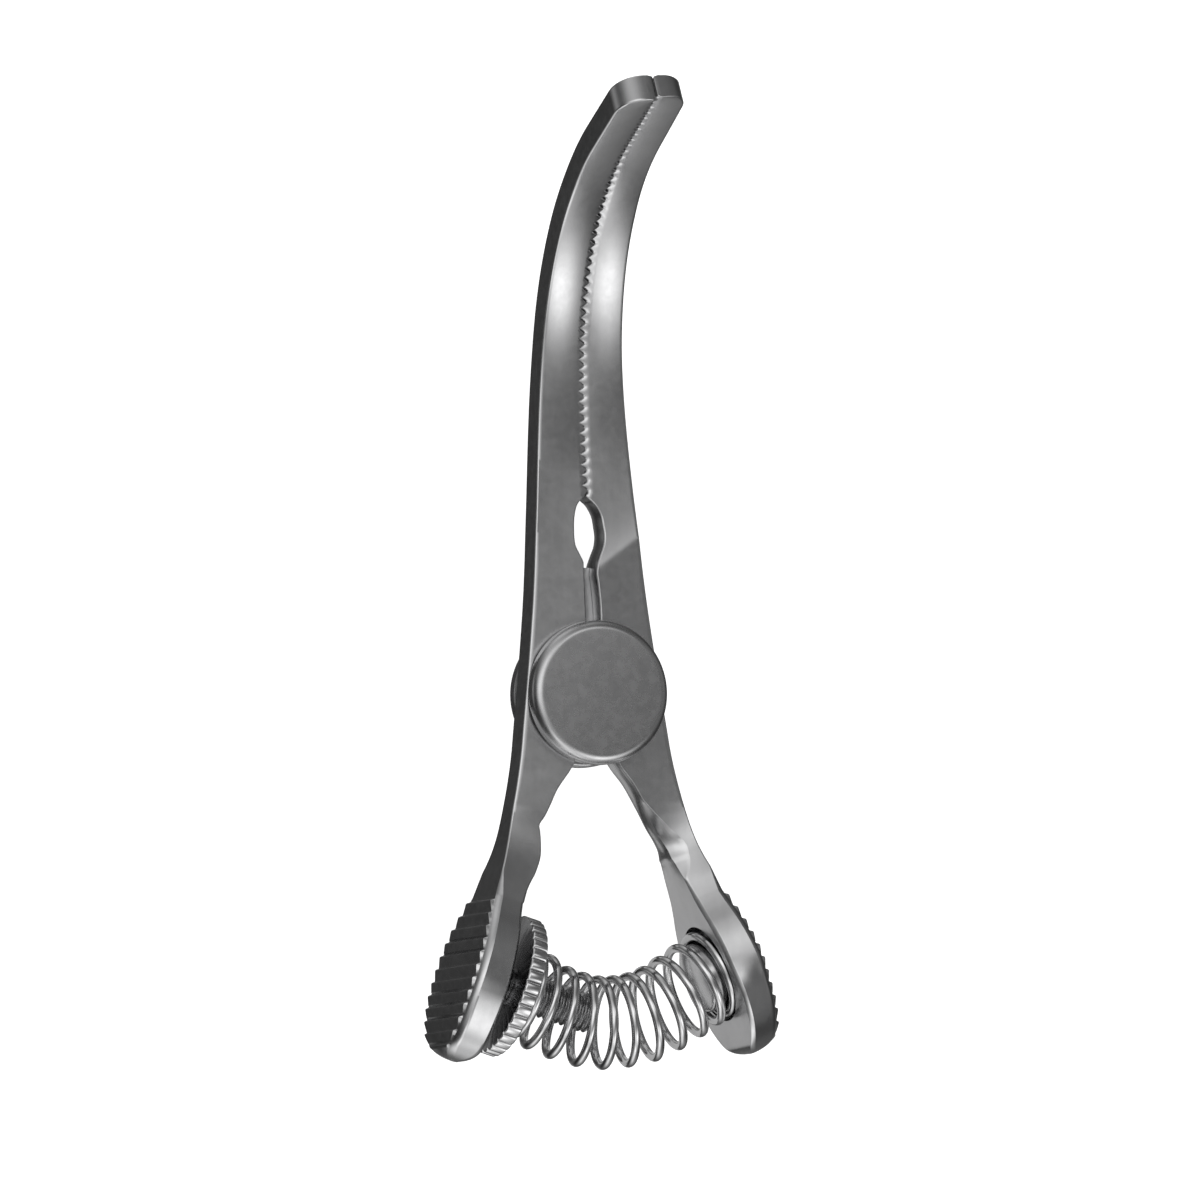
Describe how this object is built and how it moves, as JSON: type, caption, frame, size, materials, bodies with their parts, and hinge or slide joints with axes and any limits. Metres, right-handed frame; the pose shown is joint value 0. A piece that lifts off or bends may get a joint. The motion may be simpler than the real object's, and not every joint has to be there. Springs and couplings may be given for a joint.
{
  "type": "curved spring bulldog clamp",
  "caption": "Spring-closed surgical clamp with curved serrated jaws, ribbed thumb plates, a compression spring between them and a knurled nut that sets the closing force.",
  "frame": {"origin": "centre of the rear pivot disc's flat outer face, on which the clamp lies", "axes": "+Y to the jaw tips, +X to the right arm, +Z along the pivot axis, towards which the jaws curve"},
  "size_m": [0.0288, 0.0788, 0.0261],
  "materials": {
    "arm_steel": "satin, polished on the rounded edges",
    "disc_steel": "fine satin",
    "bright_steel": "polished",
    "spring_steel": "polished drawn wire"
  },
  "bodies": {
    "left_side": {"left_arm": "arm_steel", "pivot_pin": "disc_steel", "front_pivot_disc": "disc_steel", "rear_pivot_disc": "disc_steel", "tension_stud": "bright_steel"},
    "right_side": {"right_arm": "arm_steel", "spring_post": "bright_steel"},
    "spring": {"compression_spring": "spring_steel"},
    "nut": {"tension_nut": "bright_steel"}
  },
  "joints": [
    {"name": "jaw_hinge", "type": "hinge", "parent": "left_side", "child": "right_side", "pos_m": [0, 0, 0.0031], "axis": [0, 0, -1], "range_deg": [0, 17], "stiffness_Nm_per_rad": 0.3, "springref_deg": -28.65, "deforming": ["compression_spring"]},
    {"name": "nut_travel", "type": "slide", "parent": "left_side", "child": "spring", "axis": [0.9426, -0.3338, 0], "range_m": [-0.0005, 0.002], "deforming": ["compression_spring"]},
    {"name": "nut_spin", "type": "hinge", "parent": "spring", "child": "nut", "pos_m": [-0.0095, -0.0228, 0.0031], "axis": [0.9426, -0.3338, 0], "range_deg": [-361, 1441]}
  ],
  "couplings": [
    {"joint": "nut_spin", "follows": "nut_travel", "rad_per_m": 12566}
  ]
}
